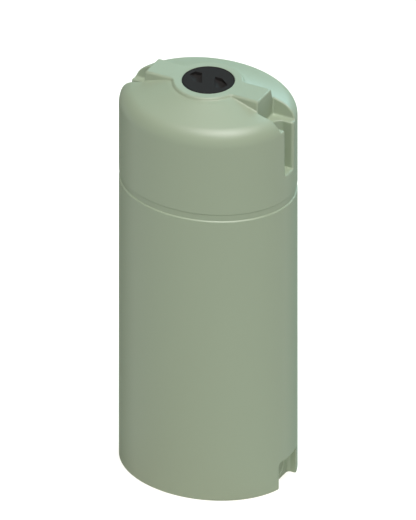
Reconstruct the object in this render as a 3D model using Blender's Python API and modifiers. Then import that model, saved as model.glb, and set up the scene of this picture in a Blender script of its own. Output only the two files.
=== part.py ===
"""Slimline water tank: a hollow rotomoulded shell of oval plan with a screw lid and a leaf strainer.

Metres, +Z up. The origin is the centre of the base, X runs along the long side of the oval and Y
across it. The two ends are alike, so each end feature is made once for each side of the YZ plane.
"""

from math import acos, atan2, cos, hypot, pi, radians, sin, sqrt, tan

import bmesh
import bpy
from mathutils import Matrix, Vector

# Body of the tank
TANK_LENGTH = 0.880
TANK_WIDTH = 0.734
WALL = 0.006
BASE_EDGE_R = 0.010
CROWN_HEIGHT = 2.101  # flat top of the lid ring and of the spine
CROWN_RISE = 0.1485  # crown above the height where the upright wall turns into the shoulder
SHOULDER_R = 0.094

# Strap groove round the wall
GROOVE_DROP = 0.383  # middle of the groove below the shoulder
GROOVE_BREADTH = 0.045
GROOVE_DEPTH = 0.006

# Lid ring and spine, one flat-topped crown on the dome
RING_BREADTH = 0.0545
RING_FOOT = 0.007
RING_RISE = 0.0095
SPINE_WIDTH = 0.141
SPINE_LENGTH = 0.608
CROWN_EDGE_R = 0.008
SPINE_DRAFT = radians(5.0)

# Pocket at each end of the spine
POCKET_DEPTH = 0.129
POCKET_WIDTH = 0.140
POCKET_FLARE = radians(8.0)
POCKET_LEAN = radians(2.7)
POCKET_CORNER_R = 0.010

# Half-round pipe channel below each pocket
CHANNEL_WIDTH = 0.076
CHANNEL_DEPTH = 0.088
CHANNEL_DROP = 0.252
CHANNEL_EDGE_R = 0.014
CHANNEL_FLOOR_R = 0.006

# Outlet notch at the foot of each end, with its round pad
NOTCH_WIDTH = 0.172
NOTCH_HEIGHT = 0.146
NOTCH_DEPTH = 0.057
NOTCH_CORNER_R = 0.018
PAD_R = 0.049
PAD_HEIGHT = 0.073
PAD_RECESS = 0.005

# Neck that the lid screws into, with the ledge that carries the strainer
OPENING_R = 0.112
NECK_DEPTH = 0.040
NECK_WALL = 0.007
LEDGE_BREADTH = 0.010
LEDGE_THICKNESS = 0.005

# Screw lid
LID_OVERHANG = 0.014
LID_FLANGE = 0.0054
LID_PANEL = 0.004
LID_LIP = 0.0025
LID_LIP_GAP = 0.0008
LID_EDGE_R = 0.0016
LID_RIM_INSET = 0.005
LID_RIM_GROOVE_WIDTH = 0.0022
LID_RIM_GROOVE_DEPTH = 0.0010
SKIRT_WALL = 0.004
SKIRT_CLEARANCE = 0.0015
SKIRT_END_CLEARANCE = 0.0065

# Finger scoops of the lid, either side of a slanting grip bar
GRIP_BAR_HALF = 0.035
GRIP_SLANT = radians(27.0)
SCOOP_HALF_WIDTH = 0.041
SCOOP_FAR_CORNER = 0.053
SCOOP_NEAR_CORNER = 0.091
SCOOP_REACH = 0.105
SCOOP_R = 0.0426
SCOOP_AXIS_RISE = 0.0198
SCOOP_AXIS_OFFSET = 0.0246
SCOOP_WALL = 0.003

# Gasket, strainer basket and mesh
GASKET_THICKNESS = 0.003
GASKET_CLEARANCE = 0.0006
BASKET_DEPTH = 0.110
BASKET_WALL = 0.0025
BASKET_TAPER = radians(6.0)
BASKET_FLANGE = 0.003
BASKET_CLEARANCE = 0.0015
BASKET_FLOOR = 0.003
SLOT_COUNT = 20
SLOT_WIDTH = 0.010
SLOT_TOP_MARGIN = 0.016
SLOT_BOTTOM_MARGIN = 0.014
SPOKE_COUNT = 8
SPOKE_WIDTH = 0.008
HUB_R = 0.016
FLOOR_RIM = 0.010
MESH_THICKNESS = 0.0012
MESH_PITCH = 0.016
MESH_HOLE = 0.0105
MESH_RIM = 0.004

SEAT_GAP = 0.0003  # between pieces that rest on each other
CUT_PAST = 0.050  # how far a cutter runs out of the piece that it cuts

# Facets
OUTER_SIDES = 64
INNER_SIDES = 40
ROUND_SIDES = 56
PAD_SIDES = 32
TROUGH_SIDES = 40
ARC_STEPS = 6
FILLET_STEPS = 3
FLOOR_FILLET_STEPS = 2
RING_ARC_STEPS = 14
CHANNEL_BACK_STEPS = 12

# Values that follow from the sizes above
HALF_LENGTH = TANK_LENGTH / 2
HALF_WIDTH = TANK_WIDTH / 2
SHOULDER_HEIGHT = CROWN_HEIGHT - CROWN_RISE
GROOVE_HEIGHT = SHOULDER_HEIGHT - GROOVE_DROP
RING_R = OPENING_R + RING_BREADTH
DOME_TOP_R = RING_R + RING_FOOT
DOME_TOP = CROWN_HEIGHT - RING_RISE
POCKET_FLOOR = CROWN_HEIGHT - POCKET_DEPTH
CHANNEL_FLOOR = POCKET_FLOOR - CHANNEL_DROP
NOTCH_BACK = HALF_LENGTH - NOTCH_DEPTH
LEDGE_TOP = CROWN_HEIGHT - NECK_DEPTH
LEDGE_R = OPENING_R - LEDGE_BREADTH
LID_R = OPENING_R + LID_OVERHANG
LID_UNDERSIDE = GASKET_THICKNESS + 2 * SEAT_GAP
LID_TOP = LID_UNDERSIDE + LID_FLANGE
SKIRT_R = OPENING_R - SKIRT_CLEARANCE
SKIRT_DEPTH = NECK_DEPTH - BASKET_FLANGE - SKIRT_END_CLEARANCE
BASKET_TOP_R = LEDGE_R - BASKET_CLEARANCE
BASKET_FOOT_R = BASKET_TOP_R - BASKET_DEPTH * tan(BASKET_TAPER)


# Scene and helpers

def clear_scene():
    for obj in list(bpy.data.objects):
        bpy.data.objects.remove(obj, do_unlink=True)


def new_collection(name):
    collection = bpy.data.collections.new(name)
    bpy.context.scene.collection.children.link(collection)
    return collection


def material(name, colour, roughness, metallic=0.0):
    made = bpy.data.materials.new(name)
    made.use_nodes = True
    shader = made.node_tree.nodes["Principled BSDF"]
    shader.inputs["Base Color"].default_value = (*colour, 1.0)
    shader.inputs["Roughness"].default_value = roughness
    shader.inputs["Metallic"].default_value = metallic
    made.diffuse_color = (*colour, 1.0)
    return made


def object_from(name, bm, collection):
    """A mesh object from a bmesh whose faces are first turned to point out."""
    bmesh.ops.recalc_face_normals(bm, faces=bm.faces)
    mesh = bpy.data.meshes.new(name)
    bm.to_mesh(mesh)
    bm.free()
    obj = bpy.data.objects.new(name, mesh)
    collection.objects.link(obj)
    return obj


def as_cutter(obj):
    obj.hide_render = True
    obj.display_type = "WIRE"
    return obj


def boolean(obj, operation, other):
    """Joins or cuts obj with other, which is placed in obj's own frame."""
    other.parent = obj
    modifier = obj.modifiers.new(operation.lower() + " " + other.name, "BOOLEAN")
    modifier.operation = operation
    modifier.solver = "EXACT"
    modifier.object = other


def finish_piece(obj, surface, smooth_angle=radians(30.0)):
    obj.data.materials.append(surface)
    obj.data.shade_smooth()
    obj.data.set_sharp_from_angle(angle=smooth_angle)


def loft(name, rings, collection):
    """A closed solid through rings of points, all of one count, capped at both ends."""
    bm = bmesh.new()
    loops = [[bm.verts.new(point) for point in ring] for ring in rings]
    for lower, upper in zip(loops, loops[1:]):
        for i, start in enumerate(lower):
            j = (i + 1) % len(lower)
            bm.faces.new((start, lower[j], upper[j], upper[i]))
    bm.faces.new(loops[0])
    bm.faces.new(loops[-1])
    return object_from(name, bm, collection)


def prism(name, outline, bottom, top, collection):
    """A plan outline carried from one height to another."""
    rings = [[(x, y, z) for x, y in outline] for z in (bottom, top)]
    return loft(name, rings, collection)


def turned(name, profile, collection, sides=ROUND_SIDES):
    """A profile of (radius, height) points, outer side first and running down, turned about Z."""
    mesh = bpy.data.meshes.new(name)
    edges = [(i, i + 1) for i in range(len(profile) - 1)]
    if profile[0][0] > 0.0:
        edges.append((len(profile) - 1, 0))
    mesh.from_pydata([(r, 0.0, z) for r, z in profile], edges, [])
    obj = bpy.data.objects.new(name, mesh)
    collection.objects.link(obj)
    screw = obj.modifiers.new("turn", "SCREW")
    screw.steps = screw.render_steps = sides
    screw.use_merge_vertices = True
    screw.merge_threshold = 0.00001
    screw.use_smooth_shade = True
    return obj


def arc(centre, radius, start, end, steps=ARC_STEPS):
    """Points along an arc, both ends included, angles in radians."""
    angles = [start + (end - start) * i / steps for i in range(steps + 1)]
    return [(centre[0] + radius * cos(a), centre[1] + radius * sin(a)) for a in angles]


def block(name, low, high, fillet, collection, flare=0.0, lean=0.0):
    """A box with all its edges rounded. Upwards its Y sides flare out and its low X side leans in."""
    bm = bmesh.new()
    bmesh.ops.create_cube(bm, size=1.0)
    rise = high[2] - low[2]
    for vert in bm.verts:
        upper = vert.co.z > 0
        x = (high[0] if vert.co.x > 0 else low[0]) - (rise * tan(lean) if upper and vert.co.x < 0 else 0.0)
        y = high[1] if vert.co.y > 0 else low[1]
        y += (rise * tan(flare) if upper else 0.0) * (1 if y > 0 else -1)
        vert.co = (x, y, high[2] if upper else low[2])
    bmesh.ops.bevel(bm, geom=bm.edges[:], offset=fillet, segments=FILLET_STEPS, profile=0.5, affect="EDGES")
    return object_from(name, bm, collection)


def mirror_in_x(obj):
    """Turns the piece made for the +X end into the one for the -X end."""
    obj.data.transform(Matrix.Scale(-1, 4, Vector((1, 0, 0))))
    obj.data.flip_normals()


# Tank body

def side_profile(half, inset):
    """One side of the tank from base to dome, as (distance from the axis, height), moved in by inset.

    It runs round the base edge, up the wall and into the strap groove, round the shoulder and up the
    dome, which leaves the shoulder on the tangent to the foot of the lid ring.
    """
    base_r = max(BASE_EDGE_R - inset, 0.001)
    points = arc((half - inset - base_r, inset + base_r), base_r, -pi / 2, 0.0, 4)
    wall = half - inset
    low = GROOVE_HEIGHT - GROOVE_BREADTH / 2
    high = GROOVE_HEIGHT + GROOVE_BREADTH / 2
    points += [(wall, low), (wall - GROOVE_DEPTH, low + GROOVE_DEPTH)]
    points += [(wall - GROOVE_DEPTH, high - GROOVE_DEPTH), (wall, high)]
    centre = (half - SHOULDER_R, SHOULDER_HEIGHT)
    across, up = DOME_TOP_R - centre[0], DOME_TOP - centre[1]
    turn = atan2(up, across) - acos(SHOULDER_R / hypot(across, up))
    points += arc(centre, SHOULDER_R - inset, 0.0, turn)
    points.append((DOME_TOP_R - inset * cos(turn), DOME_TOP - inset * sin(turn)))
    return points


def tank_form(name, inset, sides, collection):
    """Oval rings through the profiles of the long and the short side."""
    rings = []
    for (rx, zx), (ry, zy) in zip(side_profile(HALF_LENGTH, inset), side_profile(HALF_WIDTH, inset)):
        ring = []
        for i in range(sides):
            c, s = cos(2 * pi * i / sides), sin(2 * pi * i / sides)
            ring.append((rx * c, ry * s, zx * c * c + zy * s * s))
        rings.append(ring)
    return loft(name, rings, collection)


def crown_outline(offset):
    """Plan of the lid ring and the spine that runs through it, moved out by offset."""
    ring = RING_R + offset
    half = SPINE_WIDTH / 2 + offset
    end = SPINE_LENGTH / 2 + POCKET_CORNER_R + offset
    meet = atan2(half, sqrt(ring * ring - half * half))
    outline = [(end, -half), (end, half)]
    outline += arc((0, 0), ring, meet, pi - meet, RING_ARC_STEPS)
    outline += [(-end, half), (-end, -half)]
    outline += arc((0, 0), ring, pi + meet, 2 * pi - meet, RING_ARC_STEPS)
    return outline


def crown_form(name, inset, collection):
    """Lid ring and spine as one drafted, flat-topped block with a rounded top edge."""
    bottom = SHOULDER_HEIGHT + SHOULDER_R / 2 - inset
    top = CROWN_HEIGHT - inset
    spread = (top - bottom) * tan(SPINE_DRAFT)
    bm = bmesh.new()
    lower = [bm.verts.new((x, y, bottom)) for x, y in crown_outline(spread - inset)]
    upper = [bm.verts.new((x, y, top)) for x, y in crown_outline(-inset)]
    for i, start in enumerate(lower):
        j = (i + 1) % len(lower)
        bm.faces.new((start, lower[j], upper[j], upper[i]))
    bm.faces.new(lower)
    flat = bm.faces.new(upper)
    fillet = max(CROWN_EDGE_R - inset, 0.001)
    edges = list(flat.edges)
    bmesh.ops.bevel(bm, geom=edges, offset=fillet, segments=FILLET_STEPS, profile=0.5, affect="EDGES")
    return object_from(name, bm, collection)


def pocket_form(name, grow, collection):
    """Pocket that ends the spine: a lean inner wall, a level floor and flared sides."""
    top = CROWN_HEIGHT + CUT_PAST
    foot = SPINE_LENGTH / 2 + POCKET_DEPTH * tan(POCKET_LEAN) - grow
    half = POCKET_WIDTH / 2 + grow
    low = (foot, -half, POCKET_FLOOR - grow)
    high = (HALF_LENGTH + CUT_PAST, half, top)
    return block(name, low, high, POCKET_CORNER_R + grow, collection, POCKET_FLARE, POCKET_LEAN)


def channel_outline(grow):
    """Half-round back, straight sides and rounded mouth edges of the pipe channel."""
    radius = CHANNEL_WIDTH / 2 + grow
    axis = HALF_LENGTH - CHANNEL_DEPTH + CHANNEL_WIDTH / 2
    mouth_y = CHANNEL_WIDTH / 2 + CHANNEL_EDGE_R
    mouth_x = HALF_LENGTH * sqrt(1 - (mouth_y / HALF_WIDTH) ** 2)
    edge_r = max(CHANNEL_EDGE_R - grow, 0.001)
    edge = arc((mouth_x - CHANNEL_EDGE_R, mouth_y), edge_r, -pi / 2, 0.0, 4)
    outer = HALF_LENGTH + CUT_PAST
    side = edge + [(outer, edge[-1][1])]
    back = arc((axis, 0), radius, pi / 2, 3 * pi / 2, CHANNEL_BACK_STEPS)
    return [(x, y) for x, y in reversed(side)] + back + [(x, -y) for x, y in side]


def channel_form(name, grow, collection):
    """Upright channel from the pocket's floor down to its own rounded floor."""
    bm = bmesh.new()
    outline = channel_outline(grow)
    bottom, top = CHANNEL_FLOOR - grow, POCKET_FLOOR + POCKET_CORNER_R
    lower = [bm.verts.new((x, y, bottom)) for x, y in outline]
    upper = [bm.verts.new((x, y, top)) for x, y in outline]
    for i, start in enumerate(lower):
        j = (i + 1) % len(lower)
        bm.faces.new((start, lower[j], upper[j], upper[i]))
    floor = bm.faces.new(lower)
    bm.faces.new(upper)
    fillet = CHANNEL_FLOOR_R / 2 + grow / 2
    edges = list(floor.edges)
    bmesh.ops.bevel(bm, geom=edges, offset=fillet, segments=FLOOR_FILLET_STEPS, profile=0.5, affect="EDGES")
    return object_from(name, bm, collection)


def notch_form(name, grow, collection):
    """Outlet notch, open below and at the end."""
    half = NOTCH_WIDTH / 2 + grow
    low = (NOTCH_BACK - grow, -half, -CUT_PAST)
    high = (HALF_LENGTH + CUT_PAST, half, NOTCH_HEIGHT + grow)
    return block(name, low, high, NOTCH_CORNER_R + grow, collection)


def pad_form(name, grow, collection):
    """Shallow round recess in the notch's back wall, where the outlet is drilled."""
    length = PAD_RECESS + NOTCH_DEPTH / 2 + grow
    bm = bmesh.new()
    radius = PAD_R + grow
    bmesh.ops.create_cone(bm, cap_ends=True, segments=PAD_SIDES, radius1=radius, radius2=radius, depth=length)
    centre = Matrix.Translation((NOTCH_BACK - PAD_RECESS - grow + length / 2, 0, PAD_HEIGHT))
    bmesh.ops.transform(bm, verts=bm.verts, matrix=centre @ Matrix.Rotation(pi / 2, 4, "Y"))
    return object_from(name, bm, collection)


END_FORMS = (("pocket", pocket_form), ("channel", channel_form), ("notch", notch_form), ("pad", pad_form))


def end_cutters(label, grow, collection):
    """The four recesses of each end, grown by the wall for the inner face of the shell."""
    cutters = []
    for kind, form in END_FORMS:
        for end, mirrored in (("right", False), ("left", True)):
            cutter = as_cutter(form(f"{label} {end} {kind}", grow, collection))
            if mirrored:
                mirror_in_x(cutter)
            cutters.append(cutter)
    return cutters


def inner_form(cutters):
    """The hollow of the tank: its outer form moved in by the wall, less the walls that stand into it."""
    hollow = as_cutter(tank_form("hollow", WALL, INNER_SIDES, cutters))
    crown = as_cutter(crown_form("hollow crown", WALL, cutters))
    boolean(hollow, "UNION", crown)
    for cutter in end_cutters("hollow", WALL, cutters):
        boolean(hollow, "DIFFERENCE", cutter)
    sleeve_r = OPENING_R + NECK_WALL
    sleeve_foot = LEDGE_TOP - LEDGE_THICKNESS
    sleeve_top = CROWN_HEIGHT + CUT_PAST
    sleeve = [(0, sleeve_top), (sleeve_r, sleeve_top), (sleeve_r, sleeve_foot), (0, sleeve_foot)]
    boolean(hollow, "DIFFERENCE", as_cutter(turned("neck sleeve", sleeve, cutters)))
    return hollow


def tank_shell(parts, cutters, surface):
    shell = tank_form("tank_shell", 0.0, OUTER_SIDES, parts)
    boolean(shell, "UNION", as_cutter(crown_form("crown", 0.0, cutters)))
    for cutter in end_cutters("outer", 0.0, cutters):
        boolean(shell, "DIFFERENCE", cutter)
    boolean(shell, "DIFFERENCE", inner_form(cutters))
    top = CROWN_HEIGHT + CUT_PAST
    foot = LEDGE_TOP - LEDGE_THICKNESS - CUT_PAST
    bore = [(0, top), (OPENING_R, top), (OPENING_R, LEDGE_TOP)]
    bore += [(LEDGE_R, LEDGE_TOP), (LEDGE_R, foot), (0, foot)]
    boolean(shell, "DIFFERENCE", as_cutter(turned("neck bore", bore, cutters)))
    finish_piece(shell, surface)
    return shell


# Screw lid

def moved_out(outline, distance):
    """A convex anticlockwise outline with each of its sides moved out."""
    sides = []
    for (ax, ay), (bx, by) in zip(outline, outline[1:] + outline[:1]):
        length = hypot(bx - ax, by - ay)
        nx, ny = (by - ay) / length, (ax - bx) / length
        sides.append((nx, ny, nx * ax + ny * ay + distance))
    corners = []
    for (ax, ay, ad), (bx, by, bd) in zip(sides[-1:] + sides[:-1], sides):
        det = ax * by - ay * bx
        corners.append(((ad * by - bd * ay) / det, (ax * bd - bx * ad) / det))
    return corners


def scoop_outline():
    """Plan of one finger scoop: along the grip bar, out to the rim and back, anticlockwise."""
    w = SCOOP_HALF_WIDTH
    slant = w * tan(GRIP_SLANT)
    return [
        (GRIP_BAR_HALF - slant, w),
        (GRIP_BAR_HALF + slant, -w),
        (SCOOP_NEAR_CORNER, -w),
        (SCOOP_REACH, 0.0),
        (SCOOP_FAR_CORNER, w),
    ]


def scoop_form(name, grow, half_turn, collection, cutters):
    """A finger scoop: its plan outline cut down to a round-bottomed trough along the grip bar."""
    top = LID_TOP - LID_PANEL / 2 if grow else LID_TOP + CUT_PAST
    scoop = prism(name, moved_out(scoop_outline(), grow), LID_TOP - SCOOP_R - grow, top, collection)
    bm = bmesh.new()
    length = 6 * SCOOP_HALF_WIDTH
    radius = SCOOP_R + grow
    sides = TROUGH_SIDES
    bmesh.ops.create_cone(bm, cap_ends=True, segments=sides, radius1=radius, radius2=radius, depth=length)
    off = GRIP_BAR_HALF * cos(GRIP_SLANT) + SCOOP_AXIS_OFFSET
    place = (
        Matrix.Rotation(GRIP_SLANT, 4, "Z")
        @ Matrix.Translation((off, 0, LID_TOP + SCOOP_AXIS_RISE))
        @ Matrix.Rotation(pi / 2, 4, "X")
    )
    bmesh.ops.transform(bm, verts=bm.verts, matrix=place)
    trough = as_cutter(object_from(name + " trough", bm, cutters))
    if half_turn:
        for obj in (scoop, trough):
            obj.data.transform(Matrix.Rotation(pi, 4, "Z"))
    boolean(scoop, "INTERSECT", trough)
    return as_cutter(scoop)


def screw_lid(parts, cutters, surface):
    """Flanged lid with a plain skirt where the thread runs and two scoops. Its origin is on the crown."""
    groove_out = LID_R - LID_RIM_INSET
    groove_in = groove_out - LID_RIM_GROOVE_WIDTH
    groove_foot = LID_TOP - LID_RIM_GROOVE_DEPTH
    skirt_in = SKIRT_R - SKIRT_WALL
    panel_foot = LID_TOP - LID_PANEL
    profile = [(0, LID_TOP), (groove_in, LID_TOP), (groove_in, groove_foot), (groove_out, groove_foot)]
    profile += [(groove_out, LID_TOP)]
    rim = arc((LID_R - LID_EDGE_R, LID_TOP - LID_EDGE_R), LID_EDGE_R, pi / 2, 0.0, 3)
    profile += rim
    profile += [(LID_R, LID_LIP_GAP), (LID_R - LID_LIP, LID_LIP_GAP), (LID_R - LID_LIP, LID_UNDERSIDE)]
    profile += [(SKIRT_R, LID_UNDERSIDE), (SKIRT_R, -SKIRT_DEPTH), (skirt_in, -SKIRT_DEPTH)]
    profile += [(skirt_in, panel_foot), (0, panel_foot)]
    lid = turned("screw_lid", profile, parts)
    for label, half_turn in (("right", False), ("left", True)):
        boolean(lid, "UNION", scoop_form(f"{label} bowl", SCOOP_WALL, half_turn, cutters, cutters))
    for label, half_turn in (("right", False), ("left", True)):
        boolean(lid, "DIFFERENCE", scoop_form(f"{label} scoop", 0.0, half_turn, cutters, cutters))
    lid.location = (0, 0, CROWN_HEIGHT)
    finish_piece(lid, surface)
    return lid


def lid_gasket(parts, surface):
    """Flat rubber ring on the crown, inside the lid's lip."""
    inner = OPENING_R + GASKET_CLEARANCE
    outer = LID_R - LID_LIP - GASKET_CLEARANCE
    low, high = SEAT_GAP, SEAT_GAP + GASKET_THICKNESS
    gasket = turned("lid_gasket", [(outer, high), (outer, low), (inner, low), (inner, high)], parts)
    gasket.location = (0, 0, CROWN_HEIGHT)
    finish_piece(gasket, surface)
    return gasket


# Leaf strainer

def slot_cutters(cutters):
    """Upright slots round the basket's side, one mesh of separate boxes."""
    bm = bmesh.new()
    top = -SLOT_TOP_MARGIN
    foot = -BASKET_DEPTH + SLOT_BOTTOM_MARGIN
    for i in range(SLOT_COUNT):
        made = bmesh.ops.create_cube(bm, size=1.0)["verts"]
        stretch = Matrix.Diagonal((BASKET_TOP_R, SLOT_WIDTH, top - foot, 1.0))
        centre = Matrix.Translation((BASKET_TOP_R, 0, (top + foot) / 2))
        turn = Matrix.Rotation(2 * pi * i / SLOT_COUNT, 4, "Z")
        bmesh.ops.transform(bm, verts=made, matrix=turn @ centre @ stretch)
    return as_cutter(object_from("basket slots", bm, cutters))


def floor_cutters(cutters):
    """Openings between the spokes of the basket's floor."""
    bm = bmesh.new()
    outer = BASKET_FOOT_R - BASKET_WALL - FLOOR_RIM
    step = 2 * pi / SPOKE_COUNT
    for i in range(SPOKE_COUNT):
        outline = []
        for radius, order in ((HUB_R, 1), (outer, -1)):
            margin = SPOKE_WIDTH / 2 / radius
            angles = [step * i + margin + (step - 2 * margin) * k / 4 for k in range(5)]
            outline += [(radius * cos(a), radius * sin(a)) for a in angles[::order]]
        low = [bm.verts.new((x, y, -BASKET_DEPTH - CUT_PAST)) for x, y in outline]
        high = [bm.verts.new((x, y, -BASKET_DEPTH + BASKET_FLOOR + MESH_THICKNESS)) for x, y in outline]
        bm.faces.new(low)
        bm.faces.new(high)
        for k, start in enumerate(low):
            j = (k + 1) % len(low)
            bm.faces.new((start, low[j], high[j], high[k]))
    return as_cutter(object_from("basket floor openings", bm, cutters))


def strainer_basket(parts, cutters, surface):
    """Tapered basket that hangs by its flange. Its origin is on the neck's ledge."""
    flange_r = OPENING_R - BASKET_CLEARANCE
    flange_top = SEAT_GAP + BASKET_FLANGE
    top_in, foot_in = BASKET_TOP_R - BASKET_WALL, BASKET_FOOT_R - BASKET_WALL
    floor_top = -BASKET_DEPTH + BASKET_FLOOR
    floor_in = foot_in + BASKET_FLOOR * tan(BASKET_TAPER)
    profile = [(0, floor_top), (floor_in, floor_top), (top_in, flange_top), (flange_r, flange_top)]
    profile += [(flange_r, SEAT_GAP), (BASKET_TOP_R, SEAT_GAP)]
    profile += [(BASKET_FOOT_R, -BASKET_DEPTH), (0, -BASKET_DEPTH)]
    basket = turned("strainer_basket", profile, parts)
    boolean(basket, "DIFFERENCE", slot_cutters(cutters))
    boolean(basket, "DIFFERENCE", floor_cutters(cutters))
    basket.location = (0, 0, LEDGE_TOP)
    finish_piece(basket, surface)
    return basket


def strainer_mesh(parts, cutters, surface):
    """Round screen on the basket's floor, a thin disc with a grid of square holes."""
    radius = BASKET_FOOT_R - BASKET_WALL - 2 * SEAT_GAP
    high, low = MESH_THICKNESS, 0.0
    screen = turned("strainer_mesh", [(0, high), (radius, high), (radius, low), (0, low)], parts)
    bm = bmesh.new()
    reach = int(radius / MESH_PITCH) + 1
    for i in range(-reach, reach + 1):
        for j in range(-reach, reach + 1):
            x, y = i * MESH_PITCH, j * MESH_PITCH
            if hypot(abs(x) + MESH_HOLE / 2, abs(y) + MESH_HOLE / 2) > radius - MESH_RIM:
                continue
            made = bmesh.ops.create_cube(bm, size=1.0)["verts"]
            stretch = Matrix.Diagonal((MESH_HOLE, MESH_HOLE, 4 * MESH_THICKNESS, 1.0))
            bmesh.ops.transform(bm, verts=made, matrix=Matrix.Translation((x, y, high / 2)) @ stretch)
    boolean(screen, "DIFFERENCE", as_cutter(object_from("mesh holes", bm, cutters)))
    screen.location = (0, 0, -BASKET_DEPTH + BASKET_FLOOR + SEAT_GAP)
    finish_piece(screen, surface)
    return screen


def build():
    clear_scene()
    parts = new_collection("slimline_water_tank")
    cutters = new_collection("cutters")
    green = material("sage polyethylene", (0.300, 0.365, 0.262), 0.55)
    black = material("black polypropylene", (0.030, 0.030, 0.032), 0.50)
    rubber = material("gasket rubber", (0.018, 0.018, 0.018), 0.80)
    steel = material("stainless mesh", (0.560, 0.560, 0.550), 0.35, 1.0)

    tank = bpy.data.objects.new("water tank", None)
    parts.objects.link(tank)
    shell = tank_shell(parts, cutters, green)
    basket = strainer_basket(parts, cutters, black)
    gasket = lid_gasket(parts, rubber)
    lid = screw_lid(parts, cutters, black)
    for piece in (shell, basket, gasket, lid):
        piece.parent = tank
    strainer_mesh(parts, cutters, steel).parent = basket


build()
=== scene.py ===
"""Slimline water tank: a moulded shell with its screw lid, gasket and leaf strainer, in a studio.

Each moulding is written as a field, a function that is negative inside the plastic, built from the
same sizes as the solids. A net of quads is drawn over the field's zero level, thinned and set back
onto it, so that every edge carries the rounding that the mould leaves. Metres, +Z up.
"""

from collections import namedtuple
from math import ceil, cos, hypot, pi, radians, sin, sqrt, tan

import bmesh
import bpy
import numpy as np
from bpy.props import FloatProperty, FloatVectorProperty, IntProperty, PointerProperty
from mathutils import Matrix, Vector


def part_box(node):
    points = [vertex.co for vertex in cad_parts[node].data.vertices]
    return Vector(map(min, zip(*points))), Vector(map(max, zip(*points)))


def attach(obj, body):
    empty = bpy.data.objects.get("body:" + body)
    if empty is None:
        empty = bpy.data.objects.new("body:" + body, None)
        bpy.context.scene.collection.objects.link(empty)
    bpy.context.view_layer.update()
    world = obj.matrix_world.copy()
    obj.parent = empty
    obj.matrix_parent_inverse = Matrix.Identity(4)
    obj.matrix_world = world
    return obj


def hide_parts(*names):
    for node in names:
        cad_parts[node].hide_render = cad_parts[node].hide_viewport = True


bl_info = {
    "name": "Slimline water tank",
    "version": (1, 0, 0),
    "blender": (4, 5, 0),
    "location": "3D View > Sidebar > Water tank",
    "description": "Moulds the tank shell, lid, gasket and strainer, and sets the studio",
    "category": "Object",
}

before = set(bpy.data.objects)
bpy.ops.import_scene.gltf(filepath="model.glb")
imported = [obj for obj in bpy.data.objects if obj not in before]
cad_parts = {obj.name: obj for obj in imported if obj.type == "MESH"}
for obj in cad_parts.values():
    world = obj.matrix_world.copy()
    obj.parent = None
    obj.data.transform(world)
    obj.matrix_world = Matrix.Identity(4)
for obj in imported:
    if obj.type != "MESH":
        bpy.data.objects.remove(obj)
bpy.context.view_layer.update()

SHELL_LOW, SHELL_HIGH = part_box("tank_shell")
LID_LOW, LID_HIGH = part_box("screw_lid")
GASKET_LOW, GASKET_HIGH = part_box("lid_gasket")
BASKET_LOW, BASKET_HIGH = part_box("strainer_basket")
MESH_LOW, MESH_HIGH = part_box("strainer_mesh")
CROWN = SHELL_HIGH.z

TINY = 1e-9
NORMAL_STEP = 0.0002  # how far apart a field is read for its slope
LEAST_STEEP = 0.2  # square of the least slope that a step onto a field is reckoned with
SETTLING_STEPS = 4  # steps that set a point onto a field
SEAM = 0.00001  # how far apart two points of a seam may lie and be joined
PLACE_DIGITS = 7  # a ten-thousandth of a millimetre, so that a piece ends where its sizes say


# Properties

def size(name, default, description):
    return FloatProperty(
        name=name, description=description, default=default, min=0.0, unit="LENGTH", precision=4
    )


def angle(name, default, description):
    return FloatProperty(name=name, description=description, default=radians(default), unit="ROTATION")


def amount(name, default, description):
    return FloatProperty(name=name, description=description, default=default, min=0.0)


def count(name, default, description):
    return IntProperty(name=name, description=description, default=default, min=1)


def colour(name, default, description):
    return FloatVectorProperty(
        name=name, description=description, default=default, subtype="COLOR", min=0.0, max=1.0
    )


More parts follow.
